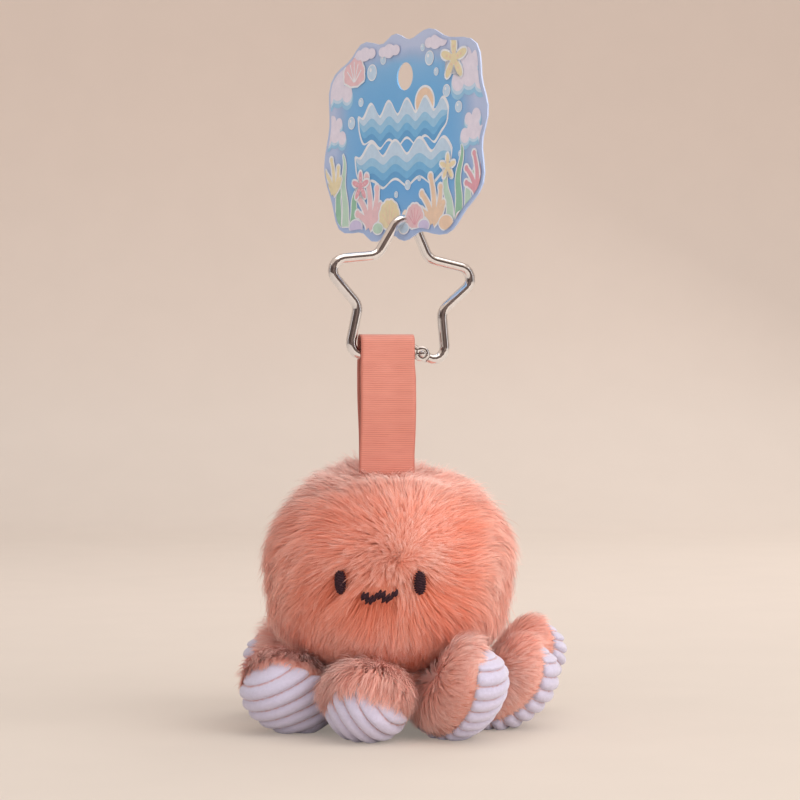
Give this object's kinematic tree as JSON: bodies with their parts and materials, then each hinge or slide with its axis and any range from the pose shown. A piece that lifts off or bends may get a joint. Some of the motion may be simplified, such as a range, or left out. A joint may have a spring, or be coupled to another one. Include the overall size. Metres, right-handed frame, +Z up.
{
  "type": "plush bag charm",
  "caption": "Round furry sea animal with curled ribbed arms, hung by a folded ribbon from a star-shaped wire clip with a sprung gate and a die-cut hang tag.",
  "frame": {"origin": "centre of the hang tag's peg hole, from which the charm hangs", "axes": "+Z up, the way the charm hangs; the animal faces -Y and a little to -X, and its right-hand side from the front is +X"},
  "size_m": [0.116, 0.1136, 0.2417],
  "materials": {
    "printed_card": "coated card, blue print with a pale border",
    "clip_plating": "polished nickel plating",
    "spring_steel": "drawn wire",
    "satin_ribbon": "salmon satin, woven crosswise",
    "long_pile_fur": "coral long pile fur",
    "corduroy": "off-white wide rib corduroy",
    "fibre_wadding": "white fibre filling",
    "dark_thread": "dark brown satin stitch"
  },
  "bodies": {
    "hang_tag": {"hang_tag": "printed_card"},
    "star_ring": {"star_ring_body": "clip_plating", "gate_pivot_pin": "clip_plating"},
    "gate": {"gate": "clip_plating", "gate_spring": "spring_steel"},
    "ribbon": {"ribbon_loop": "satin_ribbon"},
    "plush": {"arm_1_sleeve": "long_pile_fur", "arm_1_pad": "corduroy", "arm_1_wadding": "fibre_wadding", "arm_2_sleeve": "long_pile_fur", "arm_2_pad": "corduroy", "arm_2_wadding": "fibre_wadding", "arm_3_sleeve": "long_pile_fur", "arm_3_pad": "corduroy", "arm_3_wadding": "fibre_wadding", "arm_4_sleeve": "long_pile_fur", "arm_4_pad": "corduroy", "arm_4_wadding": "fibre_wadding", "arm_5_sleeve": "long_pile_fur", "arm_5_pad": "corduroy", "arm_5_wadding": "fibre_wadding", "arm_6_sleeve": "long_pile_fur", "arm_6_pad": "corduroy", "arm_6_wadding": "fibre_wadding", "arm_7_sleeve": "long_pile_fur", "arm_7_pad": "corduroy", "arm_7_wadding": "fibre_wadding", "arm_8_sleeve": "long_pile_fur", "arm_8_pad": "corduroy", "arm_8_wadding": "fibre_wadding", "head_cover": "long_pile_fur", "head_stuffing": "fibre_wadding", "ribbon_sewn_end": "satin_ribbon", "base_panel": "corduroy", "left_eye": "dark_thread", "right_eye": "dark_thread", "mouth": "dark_thread"}
  },
  "joints": [
    {"name": "ring_swing", "type": "hinge", "parent": "hang_tag", "child": "star_ring", "pos_m": [0, 0, -0.0499], "axis": [-0.8192, -0.5736, 0], "range_deg": [-60, 60]},
    {"name": "gate_open", "type": "hinge", "parent": "star_ring", "child": "gate", "pos_m": [0.00555, 0.0017, -0.09694], "axis": [-0.2924, 0.9563, 0], "range_deg": [0, 25], "stiffness_Nm_per_rad": 0.02, "springref_deg": -20.05},
    {"name": "ribbon_rock", "type": "hinge", "parent": "gate", "child": "ribbon", "pos_m": [-0.0025, -0.00076, -0.09085], "axis": [-0.2924, 0.9563, 0], "range_deg": [-15, 15]},
    {"name": "plush_swing", "type": "hinge", "parent": "ribbon", "child": "plush", "pos_m": [-0.00652, -0.00199, -0.13745], "axis": [0.9563, 0.2924, 0], "range_deg": [-40, 40]}
  ]
}
